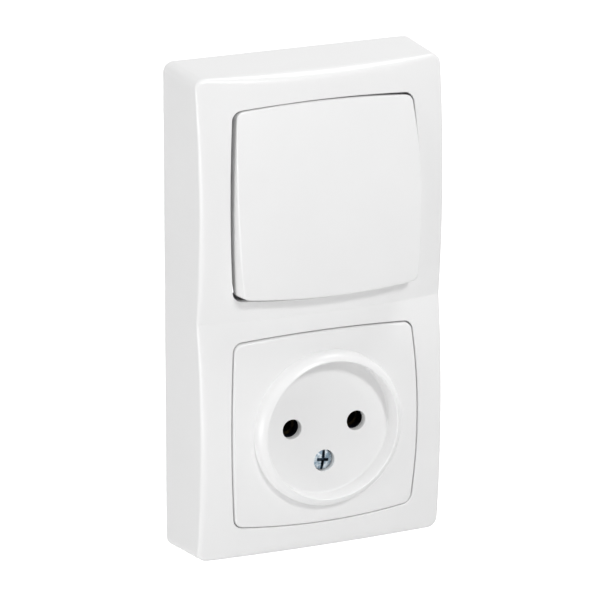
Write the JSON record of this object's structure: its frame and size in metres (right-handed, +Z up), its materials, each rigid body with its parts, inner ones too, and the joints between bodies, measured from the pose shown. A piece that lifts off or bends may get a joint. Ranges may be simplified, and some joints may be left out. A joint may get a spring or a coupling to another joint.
{
  "type": "switch and socket combination",
  "caption": "Upright surface-mounted wall unit: a large rocker switch above a two-pin round-well socket in one deep domed frame.",
  "frame": {"origin": "centre of the back face, on the wall", "axes": "+X to the right seen from the front, +Y into the wall, +Z up"},
  "size_m": [0.0734, 0.0284, 0.1348],
  "materials": {
    "white_moulding": "satin-gloss moulded ABS",
    "base_moulding": "plain moulded plastic",
    "inner_moulding": "plain moulded polyamide",
    "block_moulding": "dark moulded insulating plastic",
    "brass": "stamped strip",
    "silver": "silver-alloy contact rivet",
    "spring_steel": "drawn spring wire and strip",
    "plated_steel": "bluish zinc plating"
  },
  "bodies": {
    "root": {"cover_frame": "white_moulding", "base_plate": "base_moulding", "fixed_contact_rivet": "silver", "fixed_contact": "brass", "common_contact": "brass", "switch_housing": "block_moulding", "switch_terminal_clamps": "plated_steel", "switch_terminal_screws": "plated_steel", "switch_fixing_screws": "plated_steel", "socket_front": "white_moulding", "socket_body": "block_moulding", "socket_contact_left": "brass", "socket_contact_right": "brass", "contact_spring_clips": "spring_steel", "socket_terminal_clamps": "plated_steel", "socket_terminal_screws": "plated_steel", "socket_fixing_screws": "plated_steel", "cover_screw": "plated_steel", "cover_screw_nut": "plated_steel"},
    "rocker": {"rocker_key": "white_moulding", "rocker_carrier": "inner_moulding", "plunger_spring": "spring_steel"},
    "plunger": {"plunger": "inner_moulding"},
    "blade": {"contact_blade": "brass", "moving_contact_rivet": "silver"}
  },
  "joints": [
    {"name": "rocker_tilt", "type": "hinge", "parent": "root", "child": "rocker", "pos_m": [0, -0.02, 0.0316], "axis": [1, 0, 0], "range_deg": [0, 11.8]},
    {"name": "blade_rock", "type": "hinge", "parent": "root", "child": "blade", "pos_m": [0, -0.00966, 0.0316], "axis": [1, 0, 0], "range_deg": [-17.7, 0]},
    {"name": "plunger_slide", "type": "slide", "parent": "rocker", "child": "plunger", "axis": [0, -0.9947, 0.1028], "range_m": [0, 0.0012], "stiffness_N_per_m": 100, "deforming": ["plunger_spring"]}
  ],
  "couplings": [
    {"joint": "blade_rock", "follows": "rocker_tilt", "ratio": -1.5}
  ]
}
